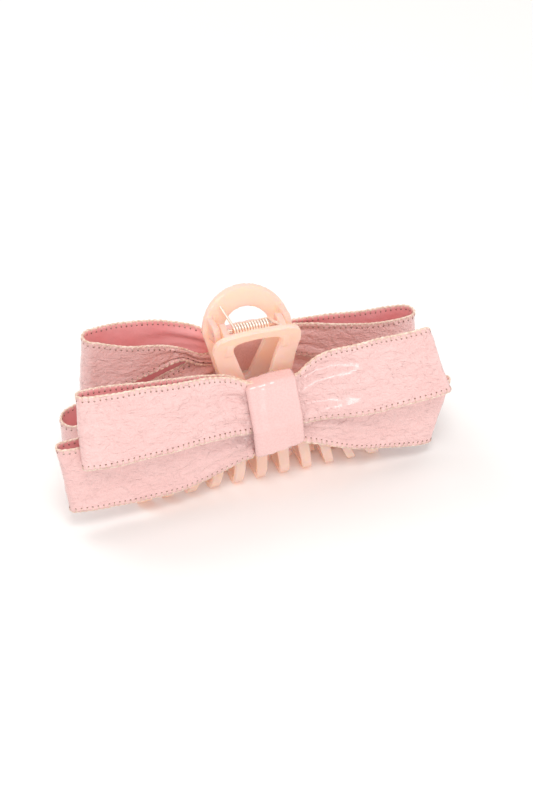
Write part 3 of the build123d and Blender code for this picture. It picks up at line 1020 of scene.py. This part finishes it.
def thread_mesh(place, side, knot_x, corners):
    """Turns of thread pulled tight round the gathered ribbons."""
    outline, _ = grown_outline(corners, side, THREAD_GAP, THREAD_STEP)
    count = len(outline)
    line = []
    for index in range(THREAD_TURNS * count):
        point = outline[index % count]
        x = knot_x * MM + (index / (THREAD_TURNS * count) - 0.5) * THREAD_BAND
        line.append(Vector((x, point.x, point.y)))
    points, radii = rounded_ends(line, THREAD_R)
    made = MeshSum()
    made.add(*tube(points, radii, THREAD_SIDES))
    return made.mesh(f"{place}_thread")


def make_centres(cloth, cotton, glue):
    """Centre wraps, gathering threads and the glue behind each bow."""
    for place, (body, side, knot_x, corners) in BUNDLES.items():
        mesh, girth = wrap_mesh(place, side, knot_x, corners)
        wrap = new_piece(f"{place}_wrap", mesh, body, "wrap_patent", [f"{place}_centre_wrap"], cloth)
        mesh = thread_mesh(place, side, knot_x, corners)
        node = f"{place}_gathering_thread"
        new_piece(f"{place}_thread", mesh, body, "gathering_thread", [node], cotton)
        node = f"{place}_glue_pad"
        mesh = remeshed_copy(node, f"{place}_glue", GLUE_VOXEL, GLUE_ROUNDS, GLUE_WOBBLE)
        new_piece(f"{place}_glue", mesh, body, "hot_melt", [node], glue)


# ---------------------------------------------------------------- jaws and hinge

HINGE = Vector((0, 0, 65)) * MM
WIRE_R = 0.5 * MM
COIL_R = 2.1 * MM
COIL_PITCH = 1.06 * MM
COIL_TURNS = 13
LEG_REACH = Vector((8.9, 4.9)) * MM
LEG_SPLAY = 2.0 * MM
COIL_STEPS_PER_TURN = 28
WIRE_SIDES = 12
JAW_VOXEL = 0.32 * MM
JAW_ROUNDS = 5
PIN_DOME = [(0, 0.25), (0.06, 0.7), (0.22, 0.93), (0.5, 1.0)]
PIN_STEPS = 20
PIN_SIDES = 28


def make_jaws(plastic):
    """Both mouldings with softly rounded edges."""
    for node, body in (("rear_jaw", REAR_BODY), ("front_jaw", FRONT_BODY)):
        mesh = remeshed_copy(node, f"{node}_moulding", JAW_VOXEL, JAW_ROUNDS)
        new_piece(f"{node}_moulding", mesh, body, "jaw_plastic", [node], plastic)


def make_spring(wire):
    """One wire: a leg up the rear lever, close coils and a leg up the front lever."""
    start_angle = atan2(LEG_REACH.y, LEG_REACH.x) + acos(COIL_R / LEG_REACH.length)
    turns = COIL_TURNS - (2 * start_angle - pi) / tau
    half_x = turns * COIL_PITCH / 2
    line = [HINGE + Vector((-half_x - LEG_SPLAY, LEG_REACH.x, LEG_REACH.y))]
    steps = int(turns * COIL_STEPS_PER_TURN)
    for index in range(steps + 1):
        share = index / steps
        angle = start_angle + tau * turns * share
        x = 2 * half_x * share - half_x
        line.append(HINGE + Vector((x, COIL_R * cos(angle), COIL_R * sin(angle))))
    line.append(HINGE + Vector((half_x + LEG_SPLAY, -LEG_REACH.x, LEG_REACH.y)))
    points, radii = rounded_ends(line, WIRE_R)
    made = MeshSum()
    made.add(*tube(points, radii, WIRE_SIDES))
    mesh = made.mesh("torsion_spring_wire")
    spring = new_piece("torsion_spring_wire", mesh, None, "spring_steel", ["torsion_spring"], wire)
    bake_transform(spring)


def make_pin(steel):
    """The pin, with lightly domed ends."""
    low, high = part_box("hinge_pin")
    radius = (high.z - low.z) / 2
    centre = (low + high) / 2
    half = (high.x - low.x) / 2
    dome = [(inset * MM - half, share) for inset, share in PIN_DOME]
    straight = -2 * dome[-1][0]
    shaft = [(dome[-1][0] + straight * k / PIN_STEPS, 1.0) for k in range(1, PIN_STEPS)]
    profile = dome + shaft + [(-x, share) for x, share in reversed(dome)]
    points = [centre + Vector((x, 0, 0)) for x, _ in profile]
    made = MeshSum()
    made.add(*tube(points, [radius * share for _, share in profile], PIN_SIDES))
    new_piece("pin_wire", made.mesh("pin_wire"), REAR_BODY, "pin_steel", ["hinge_pin"], steel)


# ---------------------------------------------------------------- run

# Without a seed, noise_vector starts from the clock and the glue pads differ from run to run.
noise.seed_set(NOISE_SEED)
make_camera()
make_studio()
ribbon_cloth = patent_leatherette(
    "crinkled_patent", (0.92, 0.575, 0.55), (0.94, 0.61, 0.585), crinkle=0.62, cell=360
)
wrap_cloth = patent_leatherette(
    "smooth_patent", (0.87, 0.55, 0.525), (0.89, 0.58, 0.555), crinkle=0.08, cell=200
)
rope_thread = thread("overlock_thread", (0.66, 0.44, 0.33), (0.90, 0.72, 0.60), 0.3)
cotton_thread = thread("gathering_cotton", (0.82, 0.72, 0.68), (0.92, 0.86, 0.82), 0.2)
spring_wire = drawn_wire("spring_wire", (0.93, 0.74, 0.64), (0.99, 0.86, 0.78), 0.32, 0.46)
pin_wire = drawn_wire("pin_steel", (0.74, 0.58, 0.50), (0.88, 0.73, 0.65), 0.22, 0.38)
make_ribbons(ribbon_cloth, cloth_backing(), rope_thread, needle_hole_shade())
make_centres(wrap_cloth, cotton_thread, set_glue())
make_jaws(translucent_plastic())
make_spring(spring_wire)
make_pin(pin_wire)
